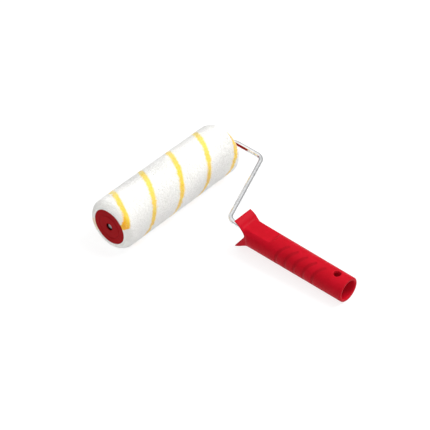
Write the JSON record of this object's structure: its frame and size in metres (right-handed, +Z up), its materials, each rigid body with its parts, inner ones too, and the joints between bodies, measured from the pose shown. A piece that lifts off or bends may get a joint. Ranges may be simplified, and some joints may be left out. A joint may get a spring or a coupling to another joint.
{
  "type": "paint roller",
  "caption": "Paint roller: striped pile sleeve on a capped core, spinning on a cranked wire frame set in a hollow plastic handle with a guard and pole socket.",
  "frame": {"origin": "on the surface the roller lies on, below the middle of its bounding box", "axes": "+X along the roller axle towards the wire's corner, +Y from the handle's pole end towards the roller, +Z up from the surface it lies on"},
  "size_m": [0.2398, 0.3379, 0.072],
  "materials": {
    "pile_white": "matte",
    "core_plastic": "matte",
    "cap_red": "satin",
    "handle_red": "satin",
    "wire_zinc": "polished",
    "bush_plastic": "satin",
    "spring_steel": "satin"
  },
  "bodies": {
    "frame": {"wire_frame": "wire_zinc", "handle_body": "handle_red", "push_nut": "spring_steel", "stop_collar": "spring_steel", "outer_washer": "spring_steel", "inner_washer": "spring_steel"},
    "roller": {"pile_sleeve": "pile_white", "core_tube": "core_plastic", "outer_end_cap": "cap_red", "inner_end_cap": "cap_red", "outer_bush": "bush_plastic", "inner_bush": "bush_plastic"}
  },
  "joints": [
    {"name": "roller_spin", "type": "hinge", "parent": "frame", "child": "roller", "pos_m": [-0.00995, 0.13295, 0.036], "axis": [1, 0, 0], "continuous": true}
  ]
}
